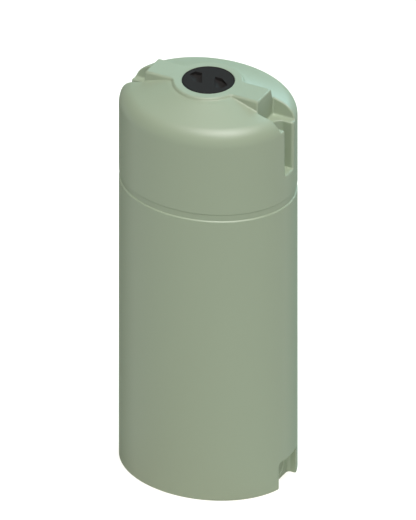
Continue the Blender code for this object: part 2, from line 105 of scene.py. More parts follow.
class ShellSizes(bpy.types.PropertyGroup):
    """Sizes and colour of the moulded tank. The crown is the height of the seat that carries the lid"""

    length: size("Length", SHELL_HIGH.x - SHELL_LOW.x, "Long axis of the oval plan")
    width: size("Width", SHELL_HIGH.y - SHELL_LOW.y, "Short axis of the oval plan")
    crown: size("Crown height", CROWN, "Seat that carries the lid")
    wall: size("Wall", 0.006, "Thickness of the moulding")
    base_edge: size("Base edge", 0.010, "Rounding where the wall meets the base")
    shoulder_height: size("Shoulder height", 1.9525, "Where the upright wall turns in")
    shoulder_r: size("Shoulder radius", 0.094, "Rounding of the shoulder")
    groove_height: size("Groove height", 1.5695, "Middle of the strap groove")
    groove_breadth: size("Groove breadth", 0.045, "Breadth of the strap groove at the wall")
    groove_depth: size("Groove depth", 0.006, "Depth of the strap groove")
    groove_run: size("Groove side", 0.008, "Height of each sloping side of the groove")
    ring_r: size("Ring radius", 0.1715, "Lid ring at its top")
    ring_foot: size("Ring foot", 0.007, "Level land round the lid ring")
    ring_rise: size("Ring rise", 0.0040, "Seat of the lid above the dome")
    spine_lift: size("Spine lift", 0.0030, "Dome along the spine above the dome across it")
    spine_width: size("Spine width", 0.141, "Flat spine that runs through the ring")
    spine_length: size("Spine length", 0.608, "Spine between the two pockets at its top")
    draft: angle("Draft", 9.0, "Lean of the ring's and spine's sides")
    seat_r: size("Seat radius", 0.1272, "Sunk seat of the lid in the ring's top")
    seat_depth: size("Seat depth", 0.0085, "Seat below the flat top of the ring and the spine")
    crown_edge: size("Crown edge", 0.011, "Rounding of the crown's top edge")
    crown_foot: size("Crown foot", 0.006, "Hollow rounding at the crown's foot")
    crown_corner: size("Crown corner", 0.012, "Hollow rounding where the spine leaves the ring")
    pocket_depth: size("Pocket depth", 0.129, "Pocket floor below the crown")
    pocket_width: size("Pocket width", 0.140, "Pocket at its floor")
    pocket_flare: angle("Pocket flare", 8.0, "Lean of the pocket's sides")
    pocket_lean: angle("Pocket lean", 2.7, "Lean of the pocket's inner wall")
    pocket_corner: size("Pocket corner", 0.010, "Hollow rounding inside the pocket")
    pocket_edge: size("Pocket edge", 0.008, "Rounding of the pocket's mouth")
    channel_width: size("Channel width", 0.076, "Pipe channel across")
    channel_depth: size("Channel depth", 0.088, "Pipe channel from the tank's end to its back")
    channel_drop: size("Channel drop", 0.252, "Channel floor below the pocket floor")
    channel_mouth: size("Channel mouth", 0.014, "Rounding of the channel's upright edges")
    channel_floor: size("Channel floor edge", 0.006, "Hollow rounding at the channel's floor")
    notch_width: size("Notch width", 0.172, "Outlet notch across")
    notch_height: size("Notch height", 0.146, "Outlet notch above the base")
    notch_depth: size("Notch depth", 0.057, "Outlet notch from the tank's end to its back")
    notch_corner: size("Notch corner", 0.018, "Hollow rounding inside the notch")
    notch_edge: size("Notch edge", 0.004, "Rounding of the notch's mouth")
    pad_r: size("Pad radius", 0.049, "Round pad that the outlet is drilled through")
    pad_height: size("Pad height", 0.073, "Middle of the pad")
    pad_recess: size("Pad recess", 0.005, "Pad below the notch's back wall")
    pad_edge: size("Pad edge", 0.0015, "Rounding of the pad's edge")
    opening_r: size("Opening radius", 0.112, "Neck that the lid screws into")
    opening_edge: size("Opening edge", 0.002, "Rounding of the neck's top edge")
    neck_depth: size("Neck depth", 0.040, "Ledge below the crown")
    neck_wall: size("Neck wall", 0.007, "Sleeve round the neck")
    ledge_breadth: size("Ledge breadth", 0.010, "Ledge that carries the strainer")
    ledge_thickness: size("Ledge thickness", 0.005, "Ledge from top to bottom")
    triangles: count("Triangles", 44000, "Triangles in each quarter of the shell")
    tone: colour("Tone", (0.331, 0.390, 0.279), "Sage polyethylene")


class LidSizes(bpy.types.PropertyGroup):
    """Sizes and colour of the screw lid and its gasket. Heights count from the lid's seat"""

    radius: size("Radius", (LID_HIGH.x - LID_LOW.x) / 2, "Outer edge of the flange")
    top: size("Top", LID_HIGH.z - CROWN, "Top of the lid above its seat")
    underside: size("Underside", GASKET_HIGH.z - CROWN + 0.0003, "Underside of the flange")
    panel: size("Panel", 0.004, "Thickness of the panel inside the skirt")
    lip: size("Lip", 0.0025, "Thickness of the lip outside the gasket")
    lip_gap: size("Lip gap", 0.0008, "Lip above the seat")
    edge: size("Edge", 0.0016, "Rounding of the top edge")
    rim_inset: size("Rim inset", 0.005, "Rim groove from the edge")
    rim_groove: size("Rim groove", 0.0022, "Breadth of the rim groove")
    rim_depth: size("Rim groove depth", 0.0010, "Depth of the rim groove")
    skirt_wall: size("Skirt wall", 0.004, "Thickness of the skirt")
    skirt_gap: size("Skirt gap", 0.0015, "Skirt inside the neck")
    bar_half: size("Bar half width", 0.035, "Half of the grip bar, along X")
    slant: angle("Bar slant", 27.0, "Slant of the grip bar")
    scoop_half: size("Scoop half width", 0.041, "Half of a finger scoop, along Y")
    far_corner: size("Far corner", 0.053, "Scoop's corner away from the bar's slant")
    near_corner: size("Near corner", 0.091, "Scoop's corner towards the rim")
    reach: size("Reach", 0.105, "Scoop's point nearest the rim")
    trough_r: size("Trough radius", 0.0426, "Round bottom of a scoop")
    trough_rise: size("Trough rise", 0.0248, "Trough's axis above the lid")
    trough_offset: size("Trough offset", 0.0246, "Trough's axis from the bar's side")
    scoop_wall: size("Scoop wall", 0.003, "Thickness of the scoop's bowl")
    scoop_edge: size("Scoop edge", 0.0008, "Rounding of the scoop's top edge")
    scoop_corner: size("Scoop corner", 0.003, "Hollow rounding inside a scoop")
    pitch: size("Pitch", 0.008, "Thread pitch of the lid and the neck")
    ridge: size("Ridge", 0.0006, "Height of the thread's ridge on the lid and in the neck")
    triangles: count("Triangles", 90000, "Triangles in the lid")
    tone: colour("Tone", (0.0240, 0.0220, 0.0210), "Black polypropylene")
    rubber: colour("Gasket", (0.014, 0.014, 0.014), "Gasket rubber")


class StrainerSizes(bpy.types.PropertyGroup):
    """Sizes and colours of the leaf strainer. Heights count from the neck's ledge"""

    depth: size("Depth", 0.110, "Basket below the ledge")
    wall: size("Wall", 0.0025, "Thickness of the basket")
    taper: angle("Taper", 6.0, "Lean of the basket's side")
    flange: size("Flange", 0.003, "Thickness of the flange")
    gap: size("Gap", 0.0015, "Basket inside the ledge and flange inside the neck")
    floor: size("Floor", 0.003, "Thickness of the basket's floor")
    slots: count("Slots", 20, "Upright slots round the side")
    slot_width: size("Slot width", 0.010, "Breadth of a slot")
    slot_top: size("Slot top", 0.016, "Top of a slot below the ledge")
    slot_bottom: size("Slot bottom", 0.014, "Bottom of a slot above the floor's underside")
    spokes: count("Spokes", 8, "Spokes of the floor")
    spoke_width: size("Spoke width", 0.008, "Breadth of a spoke")
    hub_r: size("Hub", 0.016, "Radius of the floor's hub")
    floor_rim: size("Floor rim", 0.010, "Rim of the floor outside its openings")
    edge: size("Edge", 0.0006, "Rounding of the openings' edges")
    wire_pitch: size("Wire pitch", 0.0034, "Between two wires of the screen")
    wire_r: size("Wire radius", 0.00028, "Radius of a wire")
    triangles: count("Triangles", 20000, "Triangles in each quarter of the basket")
    tone: colour("Tone", (0.028, 0.028, 0.030), "Black polypropylene")
    steel: colour("Screen", (0.560, 0.560, 0.550), "Stainless wire")


class StudioSettings(bpy.types.PropertyGroup):
    """Camera, lights and floor"""

    azimuth: angle("Azimuth", 28.0, "Camera round from the front")
    elevation: angle("Elevation", 31.1, "Camera above the level")
    view_height: size("View height", 2.473, "What the parallel view takes in from top to bottom")
    aim: size("Aim", 0.950, "Middle of the view above the base, measured in the view")
    shift: size("Shift", 0.0012, "Middle of the view left of the axis")
    distance: size("Distance", 9.0, "Camera from the tank")
    key_azimuth: angle("Key azimuth", 36.0, "Key light round from the front")
    key_elevation: angle("Key elevation", 69.0, "Key light above the level")
    key_breadth: angle("Key breadth", 38.0, "Breadth of the key light, seen from the tank")
    key: amount("Key", 1.50, "Strength of the key light")
    wash: amount("Wash", 1.94, "Strength of the key's soft wash, which casts no shadow")
    key_tone: colour("Key tone", (1.0, 1.0, 0.99), "White")
    rim_azimuth: angle("Rim azimuth", 178.0, "Rim light round from the front")
    rim_elevation: angle("Rim elevation", 27.0, "Rim light above the level")
    rim_breadth: angle("Rim breadth", 45.0, "Breadth of the rim light, seen from the tank")
    rim: amount("Rim", 1.75, "Strength of the rim light")
    rim_tone: colour("Rim tone", (0.51, 0.88, 1.0), "Cool white")
    fill_azimuth: angle("Fill azimuth", 30.0, "Fill light round from the front")
    fill_elevation: angle("Fill elevation", 5.0, "Fill light above the level")
    fill_breadth: angle("Fill breadth", 60.0, "Breadth of the fill light, seen from the tank")
    fill: amount("Fill", 0.25, "Strength of the fill light, which casts no shadow")
    fill_tone: colour("Fill tone", (1.0, 1.0, 0.92), "Warm white")
    sky: amount("Sky", 0.02, "Strength of the even light from all round")
    floor_lift: amount("Floor lift", 0.45, "How far the floor is lifted towards white in the view")
    floor_tone: colour("Floor", (0.660, 0.650, 0.600), "Studio floor")


# Fields: each takes points as x, y, z and gives about the distance outside the form

def round_union(a, b, r):
    """Joins two forms with a hollow rounding between them."""
    return np.maximum(r, np.minimum(a, b)) - np.hypot(np.maximum(r - a, 0), np.maximum(r - b, 0))


def round_meet(a, b, r):
    """What two forms share, with its edge rounded."""
    return np.minimum(-r, np.maximum(a, b)) + np.hypot(np.maximum(r + a, 0), np.maximum(r + b, 0))


def round_cut(a, b, r):
    """The first form less the second, with the edge rounded."""
    return round_meet(a, -b, r)


def ease(t):
    """Runs smoothly from 0 to 1."""
    t = np.clip(t, 0, 1)
    return t * t * (3 - 2 * t)


def oval(x, y, length, width):
    """Distance outside an oval in plan."""
    a, b = length / 2, width / 2
    reach = np.sqrt((x / a) ** 2 + (y / b) ** 2) + TINY
    slope = np.sqrt((x / a**2) ** 2 + (y / b**2) ** 2) + TINY
    return (reach - 1) * reach / slope


def tank_body(x, y, z, s):
    """Oval wall with its strap groove, the shoulder and the dome that rises to the lid ring."""
    groove = s.groove_breadth / 2 - np.abs(z - s.groove_height)
    out = oval(x, y, s.length, s.width) + s.groove_depth * ease(groove / s.groove_run)
    heading = np.arctan2(y, x)
    dome_top = s.crown - s.ring_rise + s.spine_lift * np.cos(heading) ** 2
    foot_r = s.ring_r + s.ring_foot
    foot = oval(foot_r * np.cos(heading), foot_r * np.sin(heading), s.length, s.width) + s.shoulder_r
    rise = dome_top - s.shoulder_height
    turn = np.arctan2(rise, foot) - np.arccos(s.shoulder_r / np.hypot(foot, rise))
    across, up = out + s.shoulder_r, z - s.shoulder_height
    rounded = np.hypot(across, up) - s.shoulder_r
    sloped = across * np.cos(turn) + up * np.sin(turn) - s.shoulder_r
    above = np.where(np.arctan2(up, across) < turn, rounded, sloped)
    body = np.where(up < 0, out, above)
    body = round_meet(body, z - dome_top, s.ring_foot)
    return round_meet(body, -z, s.base_edge)


def crown(x, y, z, s):
    """Lid ring and spine as one form with a flat top, level with the lid, whose seat is sunk in it."""
    ring = np.hypot(x, y) - s.ring_r
    end = np.abs(x) - s.spine_length / 2 - s.pocket_corner
    spine = np.maximum(np.abs(y) - s.spine_width / 2, end)
    plan = round_union(ring, spine, s.crown_corner)
    side = (plan - np.minimum(s.crown - z, s.pocket_depth) * tan(s.draft)) * cos(s.draft)
    form = round_meet(side, z - s.crown - s.seat_depth, s.crown_edge)
    seat = np.minimum(z - s.crown, s.seat_r - np.hypot(x, y))
    return np.maximum(np.maximum(form, seat), s.shoulder_height - z)


def pocket(x, y, z, s):
    """Pocket that ends the spine, open above and at the tank's end."""
    rise = z - (s.crown - s.pocket_depth)
    back = s.spine_length / 2 + s.pocket_depth * tan(s.pocket_lean)
    end = (back - rise * tan(s.pocket_lean) - np.abs(x)) * cos(s.pocket_lean)
    side = (np.abs(y) - s.pocket_width / 2 - rise * tan(s.pocket_flare)) * cos(s.pocket_flare)
    return round_meet(round_meet(end, side, s.pocket_corner), -rise, s.pocket_corner)


def channel(x, y, z, s):
    """Half-round pipe channel below the pocket."""
    r = s.channel_width / 2
    axis = s.length / 2 - s.channel_depth + r
    plan = np.hypot(np.minimum(np.abs(x) - axis, 0), y) - r
    floor = s.crown - s.pocket_depth - s.channel_drop
    return round_meet(plan, floor - z, s.channel_floor)


def notch(x, y, z, s):
    """Outlet notch at the foot of the end."""
    back = s.length / 2 - s.notch_depth - np.abs(x)
    side = np.abs(y) - s.notch_width / 2
    return round_meet(round_meet(back, side, s.notch_corner), z - s.notch_height, s.notch_corner)


def pad(x, y, z, s):
    """Shallow round recess in the notch's back wall."""
    back = s.length / 2 - s.notch_depth - s.pad_recess - np.abs(x)
    return round_meet(np.hypot(y, z - s.pad_height) - s.pad_r, back, s.pad_edge)


def neck_bore(x, y, z, s):
    """The opening down to the ledge and on through it."""
    r = np.hypot(x, y)
    ledge = s.crown - s.neck_depth
    wide = np.maximum(r - s.opening_r, ledge - z)
    return np.minimum(wide, r - s.opening_r + s.ledge_breadth)


def tank_field(x, y, z, s):
    """The whole moulding: its outside, less the hollow, less the neck's bore."""
    floor = s.crown - s.pocket_depth - s.channel_drop
    upright = ease((z - floor) / s.channel_mouth - 0.5)  # 0 at the channel's floor, 1 above it
    mouth = s.pocket_edge + (s.channel_mouth - s.pocket_edge) * upright
    solid = round_union(tank_body(x, y, z, s), crown(x, y, z, s), s.crown_foot)
    solid = round_cut(solid, channel(x, y, z, s), mouth)
    solid = round_cut(solid, pocket(x, y, z, s), s.pocket_edge)
    solid = round_cut(solid, notch(x, y, z, s), s.notch_edge)
    solid = round_cut(solid, pad(x, y, z, s), s.pad_edge)
    sleeve_foot = s.crown - s.neck_depth - s.ledge_thickness
    sleeve = np.maximum(np.hypot(x, y) - s.opening_r - s.neck_wall, sleeve_foot - z)
    hollow = round_cut(solid + s.wall, sleeve, s.opening_edge)
    shell = np.maximum(solid, -hollow)
    return round_cut(shell, neck_bore(x, y, z, s), s.opening_edge)


def thread(x, y, z, pitch):
    """A right-hand ridge, 1 along its top and 0 between its turns, with sloping flanks."""
    turn = (z / pitch - np.arctan2(y, x) / (2 * pi)) % 1.0
    half_breadth, flank = 3 / 16, 8  # of a turn, and how steep the flanks are
    return np.clip((half_breadth - np.abs(turn - 0.5)) * flank, 0, 1)


def scoop(x, y, z, s):
    """A finger scoop: a round-bottomed trough along the grip bar, held to its outline in plan."""
    slant = s.scoop_half * tan(s.slant)
    corners = [
        (s.bar_half - slant, s.scoop_half),
        (s.bar_half + slant, -s.scoop_half),
        (s.near_corner, -s.scoop_half),
        (s.reach, 0.0),
        (s.far_corner, s.scoop_half),
    ]
    plan = None
    for (ax, ay), (bx, by) in zip(corners, corners[1:] + corners[:1]):
        length = hypot(bx - ax, by - ay)
        side = ((x - ax) * (by - ay) - (y - ay) * (bx - ax)) / length
        plan = side if plan is None else round_meet(plan, side, s.scoop_corner)
    off = s.bar_half * cos(s.slant) + s.trough_offset
    across = x * cos(s.slant) + y * sin(s.slant) - off
    trough = np.hypot(across, z - s.top - s.trough_rise) - s.trough_r
    return round_meet(plan, trough, s.scoop_corner)


def lid_field(x, y, z, s, t):
    """Flange, threaded skirt and panel with two scoops. s is the lid's sizes and t the tank's."""
    r = np.hypot(x, y)
    skirt_r = t.opening_r - s.skirt_gap
    skirt_foot = -skirt_length()
    plate = round_meet(r - s.radius, z - s.top, s.edge)
    plate = round_meet(plate, s.lip_gap - z, s.edge / 3)
    plate = np.maximum(plate, -np.maximum(r - s.radius + s.lip, z - s.underside))
    window = ease((z - skirt_foot) / s.pitch * 2) * ease((-0.3 * s.pitch - z) / s.pitch * 2)
    ridge = s.ridge * thread(x, y, z, s.pitch) * window
    skirt = round_meet(r - skirt_r - ridge, skirt_foot - z, s.edge / 2)
    skirt = np.maximum(skirt, z - s.top + s.panel)
    body = np.minimum(plate, skirt)
    body = round_cut(body, np.maximum(r - skirt_r + s.skirt_wall, z - s.top + s.panel), s.edge / 3)
    scoops = np.minimum(scoop(x, y, z, s), scoop(-x, -y, z, s))
    bowls = np.maximum(scoops - s.scoop_wall, z - s.top + s.panel / 2)
    body = round_union(body, bowls, s.edge)
    body = round_cut(body, scoops, s.scoop_edge)
    groove_r = s.radius - s.rim_inset - s.rim_groove / 2
    groove = np.maximum(np.abs(r - groove_r) - s.rim_groove / 2, s.top - s.rim_depth - z)
    return round_cut(body, groove, s.rim_depth / 3)


def fold(x, y, turns):
    """Turns every point into the first of a number of equal sectors, as (along, across)."""
    step = 2 * pi / turns
    heading = np.arctan2(y, x)
    heading = heading - step * np.round(heading / step)
    r = np.hypot(x, y)
    return r * np.cos(heading), r * np.sin(heading)


def basket_field(x, y, z, s, t):
    """Tapered basket with a flange, slots round its side and spokes in its floor."""
    r = np.hypot(x, y)
    top_r = t.opening_r - t.ledge_breadth - s.gap
    side = (r - top_r - z * tan(s.taper)) * cos(s.taper)
    flange_low = BASKET_HIGH.z - s.flange - (t.crown - t.neck_depth)
    flange = np.maximum(r - t.opening_r + s.gap, np.abs(z - flange_low - s.flange / 2) - s.flange / 2)
    body = np.maximum(np.maximum(side, -z - s.depth), z - flange_low - s.flange)
    body = round_union(body, flange, s.wall / 2)
    inside = round_meet(side + s.wall, s.floor - s.depth - z, s.wall / 2)
    body = round_cut(body, inside, s.edge)
    along, across = fold(x, y, s.slots)
    top, foot = -s.slot_top, s.slot_bottom - s.depth
    height = np.abs(z - (top + foot) / 2) - (top - foot) / 2 + s.slot_width / 2
    slot = np.hypot(across, np.maximum(height, 0)) - s.slot_width / 2
    body = round_cut(body, np.maximum(slot, top_r / 2 - along), s.edge)
    along, across = fold(x, y, s.spokes)
    foot_r = top_r - s.depth * tan(s.taper) - s.wall
    ring = np.maximum(s.hub_r - r, r - foot_r + s.floor_rim)
    between = round_meet(ring, s.spoke_width / 2 - np.abs(across), s.floor)
    return round_cut(body, np.maximum(between, z + s.depth - 2 * s.floor), s.edge)


# Mesh code

def grid_lines(start, *spans):
    """Grid lines from start on, through spans of (end, step)."""
    lines = [start]
    for end, step in spans:
        here = lines[-1]
        steps = max(1, ceil((end - here) / step - 0.01))
        lines += [here + (end - here) * (i + 1) / steps for i in range(steps)]
    return np.array(lines)


def surface_net(field, grid):
    """Points and quads over the zero level of a field, one point to each cell that it crosses."""
    values = field(*np.ix_(*grid))
    cells = np.array(values.shape) - 1
    crossed, places, quads = [], [], []
    for axis in range(3):
        low = np.moveaxis(values, axis, 0)[:-1]
        high = np.moveaxis(values, axis, 0)[1:]
        low, high = np.moveaxis(low, 0, axis), np.moveaxis(high, 0, axis)
        edge = np.argwhere((low < 0) != (high < 0))
        before, after = low[tuple(edge.T)], high[tuple(edge.T)]
        place = np.stack([grid[k][edge[:, k]] for k in range(3)], axis=1)
        ahead = grid[axis][edge[:, axis] + 1]
        place[:, axis] += (ahead - place[:, axis]) * before / (before - after)
        u, v = (axis + 1) % 3, (axis + 2) % 3
        around = []
        for du, dv in ((0, 0), (-1, 0), (-1, -1), (0, -1)):
            cell = edge.copy()
            cell[:, u] += du
            cell[:, v] += dv
            real = ((cell >= 0) & (cell < cells)).all(axis=1)
            index = np.where(real, np.ravel_multi_index(np.clip(cell, 0, cells - 1).T, cells), -1)
            around.append(index)
            crossed.append(index[real])
            places.append(place[real])
        quad = np.stack(around, axis=1)
        quad[before >= 0] = quad[before >= 0][:, ::-1]
        quads.append(quad[(quad >= 0).all(axis=1)])
    used, member = np.unique(np.concatenate(crossed), return_inverse=True)
    places = np.concatenate(places)
    share = np.bincount(member)
    points = np.stack([np.bincount(member, places[:, k]) / share for k in range(3)], axis=1)
    return points, np.searchsorted(used, np.concatenate(quads))


def slope(field, points):
    """The field's gradient at each point."""
    steps = []
    for axis in range(3):
        offset = np.zeros(3)
        offset[axis] = NORMAL_STEP
        ahead, behind = field(*(points + offset).T), field(*(points - offset).T)
        steps.append((ahead - behind) / (2 * NORMAL_STEP))
    return np.stack(steps, axis=1)


def set_onto(field, points, furthest):
    """Moves points along the slope until they lie on the field's zero level."""
    for _ in range(SETTLING_STEPS):
        gradient = slope(field, points)
        steep = np.maximum((gradient**2).sum(axis=1), LEAST_STEEP)
        step = -field(*points.T) / steep
        points = points + gradient * np.clip(step, -furthest, furthest)[:, None]
    return points


def read_points(mesh):
    points = np.zeros(len(mesh.vertices) * 3, np.float32)
    mesh.vertices.foreach_get("co", points)
    return points.reshape(-1, 3).astype(float)


def thinned(points, quads, triangles):
    """The same surface in fewer triangles, few where it is flat."""
    mesh = bpy.data.meshes.new("net")
    mesh.from_pydata(points.tolist(), [], quads.tolist())
    obj = bpy.data.objects.new("net", mesh)
    bpy.context.scene.collection.objects.link(obj)
    modifier = obj.modifiers.new("thin", "DECIMATE")
    modifier.ratio = min(1.0, triangles / (2 * len(quads)))
    evaluated = obj.evaluated_get(bpy.context.evaluated_depsgraph_get())
    thin = bpy.data.meshes.new_from_object(evaluated)
    bpy.data.objects.remove(obj)
    bpy.data.meshes.remove(mesh)
    return thin


def snap_to_planes(bm, near):
    """Puts the open edges of a quarter exactly onto the planes that it is mirrored in."""
    for vert in bm.verts:
        if vert.is_boundary:
            for axis in (0, 1):
                if abs(vert.co[axis]) < near:
                    vert.co[axis] = 0.0


def mirrored(bm):
    """Completes a quarter in X and then in Y."""
    for axis in (0, 1):
        made = bmesh.ops.duplicate(bm, geom=bm.verts[:] + bm.edges[:] + bm.faces[:])["geom"]
        copies = [e for e in made if isinstance(e, bmesh.types.BMVert)]
        for vert in copies:
            vert.co[axis] = -vert.co[axis]
        bmesh.ops.reverse_faces(bm, faces=[e for e in made if isinstance(e, bmesh.types.BMFace)])
        seam = [v for v in bm.verts if v.is_boundary and v.co[axis] == 0.0]
        bmesh.ops.remove_doubles(bm, verts=seam, dist=SEAM)


def moulding(name, field, grid, triangles, origin=(0, 0, 0), quarter=False):
    """A mesh object of a field, with normals read from the field itself."""
    points, quads = surface_net(field, grid)
    cell = min(np.diff(lines).min() for lines in grid)
    if quarter:
        for axis in (0, 1):
            first = np.abs(points[:, axis]) < grid[axis][1]
            points[first & (points[:, axis] < grid[axis][1] * 0.999), axis] = 0.0
    points = set_onto(field, points, cell)
    mesh = thinned(points, quads, triangles)
    bm = bmesh.new()
    bm.from_mesh(mesh)
    if quarter:
        snap_to_planes(bm, cell)
        mirrored(bm)
    bm.to_mesh(mesh)
    bm.free()
    points = set_onto(field, read_points(mesh), cell / 2)
    normals = slope(field, points)
    normals /= np.linalg.norm(normals, axis=1)[:, None] + TINY
    places = np.round(points + np.array(origin), PLACE_DIGITS)
    mesh.vertices.foreach_set("co", places.astype(np.float32).ravel())
    mesh.shade_smooth()
    mesh.update()
    mesh.normals_split_custom_set_from_vertices(normals.tolist())
    mesh.name = name
    obj = bpy.data.objects.new(name, mesh)
    bpy.context.scene.collection.objects.link(obj)
    return obj


def skirt_length():
    """The lid's skirt below the crown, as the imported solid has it."""
    return CROWN - LID_LOW.z


def mesh_object(name, bm, smooth=True):
    bmesh.ops.recalc_face_normals(bm, faces=bm.faces)
    mesh = bpy.data.meshes.new(name)
    bm.to_mesh(mesh)
    bm.free()
    if smooth:
        mesh.shade_smooth()
    obj = bpy.data.objects.new(name, mesh)
    bpy.context.scene.collection.objects.link(obj)
    return obj


def loft_rings(bm, rings, closed_rings):
    """Quads between rings of points. The rings close on each other, or are capped."""
    loops = [[bm.verts.new(point) for point in ring] for ring in rings]
    pairs = list(zip(loops, loops[1:]))
    if closed_rings:
        pairs.append((loops[-1], loops[0]))
    for lower, upper in pairs:
        for i in range(len(lower)):
            j = (i + 1) % len(lower)
            bm.faces.new((lower[i], lower[j], upper[j], upper[i]))
    if not closed_rings:
        bm.faces.new(loops[0][::-1])
        bm.faces.new(loops[-1])


# Materials

def clean_material(name):
    material = bpy.data.materials.new(name)
    material.use_nodes = True
    return material, material.node_tree, material.node_tree.nodes["Principled BSDF"]


def node(tree, kind, values=None, **settings):
    """Adds a node, sets its properties and then its named or numbered inputs."""
    made = tree.nodes.new(kind)
    for key, value in settings.items():
        setattr(made, key, value)
    for key, value in (values or {}).items():
        if isinstance(value, bpy.types.NodeSocket):
            tree.links.new(value, made.inputs[key])
        else:
            made.inputs[key].default_value = value
    return made


def new_group(name, inputs, outputs):
    tree = bpy.data.node_groups.new(name, "ShaderNodeTree")
    for label, kind, default in inputs:
        socket = tree.interface.new_socket(label, in_out="INPUT", socket_type=kind)
        if default is not None:
            socket.default_value = default
    for label, kind in outputs:
        tree.interface.new_socket(label, in_out="OUTPUT", socket_type=kind)
    return tree, tree.nodes.new("NodeGroupInput"), tree.nodes.new("NodeGroupOutput")


def grain_group():
    """Moulded skin: a soft swell with a fine grain on it, and a slow drift of tone."""
    floats = [("Swell size", 120.0), ("Grain size", 900.0), ("Grain share", 0.4), ("Drift size", 3.0)]
    inputs = [(name, "NodeSocketFloat", value) for name, value in floats]
    tree, group_in, group_out = new_group(
        "Moulded skin", inputs, [("Height", "NodeSocketFloat"), ("Drift", "NodeSocketFloat")]
    )
    place = node(tree, "ShaderNodeTexCoord").outputs["Object"]

    def noise(scale, detail):
        values = {"Vector": place, "Scale": group_in.outputs[scale], "Detail": detail}
        return node(tree, "ShaderNodeTexNoise", values).outputs["Fac"]

    share = group_in.outputs["Grain share"]
    swell, grain = noise("Swell size", 2.0), noise("Grain size", 3.0)
    height = node(tree, "ShaderNodeMix", {0: share, 2: swell, 3: grain}, data_type="FLOAT")
    tree.links.new(height.outputs[0], group_out.inputs["Height"])
    tree.links.new(noise("Drift size", 4.0), group_out.inputs["Drift"])
    return tree


def shared_group(name, make):
    return bpy.data.node_groups.get(name) or make()


def skin(tree, values):
    group = node(tree, "ShaderNodeGroup", node_tree=shared_group("Moulded skin", grain_group))
    for key, value in values.items():
        group.inputs[key].default_value = value
    return group


def mixed_colour(tree, factor, first, second):
    mix = node(tree, "ShaderNodeMix", {0: factor, 6: first, 7: second}, data_type="RGBA")
    return mix.outputs[2]


def shade(tone, factor):
    return (*[min(1.0, c * factor) for c in tone], 1.0)


LIMB = (0.5, 0.85)  # from where to where a surface turns away from the eye and grows duller

Look = namedtuple("Look", "roughness rough_drift tone_drift specular limb_dulling relief")


def plastic(name, tone, look, skin_values):
    """A moulded plastic, a little uneven in tone and gloss, and duller at its limb."""
    material, tree, shader = clean_material(name)
    moulded = skin(tree, skin_values)
    drift = moulded.outputs["Drift"]
    paler, darker = shade(tone, 1 + look.tone_drift), shade(tone, 1 - look.tone_drift)
    gloss = node(tree, "ShaderNodeMapRange", {
        "Value": drift,
        "To Min": look.roughness - look.rough_drift,
        "To Max": look.roughness + look.rough_drift,
    }).outputs["Result"]
    facing = node(tree, "ShaderNodeLayerWeight", {"Blend": 0.5}).outputs["Facing"]
    dulled = node(tree, "ShaderNodeMapRange", {
        "Value": facing, "From Min": LIMB[0], "From Max": LIMB[1], "To Max": look.limb_dulling,
    }).outputs["Result"]
    rough = node(tree, "ShaderNodeMath", {0: gloss, 1: dulled}, operation="ADD")
    swell = moulded.outputs["Height"]
    relief = node(tree, "ShaderNodeBump", {"Height": swell, "Distance": look.relief, "Strength": 1.0})
    tree.links.new(mixed_colour(tree, drift, darker, paler), shader.inputs["Base Color"])
    tree.links.new(rough.outputs[0], shader.inputs["Roughness"])
    tree.links.new(relief.outputs["Normal"], shader.inputs["Normal"])
    shader.inputs["Specular IOR Level"].default_value = look.specular
    return material


def tank_plastic(s):
    """Satin polyethylene, with the soft swell and faint mottle that turning in the mould leaves."""
    values = {"Swell size": 90.0, "Grain size": 1100.0, "Grain share": 0.25, "Drift size": 2.5}
    return plastic("sage polyethylene", s.tone, Look(0.43, 0.03, 0.006, 0.66, 0.55, 0.00025), values)


def lid_plastic(s):
    """Fine-sparked black polypropylene."""
    values = {"Swell size": 700.0, "Grain size": 2600.0, "Grain share": 0.6, "Drift size": 9.0}
    return plastic("black polypropylene", s.tone, Look(0.50, 0.04, 0.03, 0.04, 0.3, 0.00012), values)


def basket_plastic(s):
    """Smooth black polypropylene."""
    values = {"Swell size": 300.0, "Grain size": 1800.0, "Grain share": 0.4, "Drift size": 12.0}
    return plastic("basket polypropylene", s.tone, Look(0.40, 0.05, 0.04, 0.45, 0.2, 0.00006), values)


def gasket_rubber(s):
    """Matt rubber with a faint bloom."""
    values = {"Swell size": 400.0, "Grain size": 3000.0, "Grain share": 0.7, "Drift size": 30.0}
    return plastic("gasket rubber", s.rubber, Look(0.78, 0.06, 0.15, 0.30, 0.1, 0.00005), values)


def drawn_steel(s):
    """Stainless wire, drawn, a little uneven in gloss."""
    material, tree, shader = clean_material("stainless wire")
    values = {"Swell size": 500.0, "Grain size": 4000.0, "Grain share": 0.5, "Drift size": 40.0}
    drift = skin(tree, values).outputs["Drift"]
    rough = node(tree, "ShaderNodeMapRange", {"Value": drift, "To Min": 0.25, "To Max": 0.42})
    steel = mixed_colour(tree, drift, shade(s.steel, 0.9), shade(s.steel, 1.05))
    tree.links.new(steel, shader.inputs["Base Color"])
    tree.links.new(rough.outputs["Result"], shader.inputs["Roughness"])
    shader.inputs["Metallic"].default_value = 1.0
    return material


def dress(obj, material, body, slot, *nodes):
    """Gives a piece its material and its body, and hides the solids that it stands for. The slot is not
    used.
    """
    obj.data.materials.clear()
    obj.data.materials.append(material)
    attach(obj, body)
    if nodes:
        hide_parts(*nodes)


# Pieces

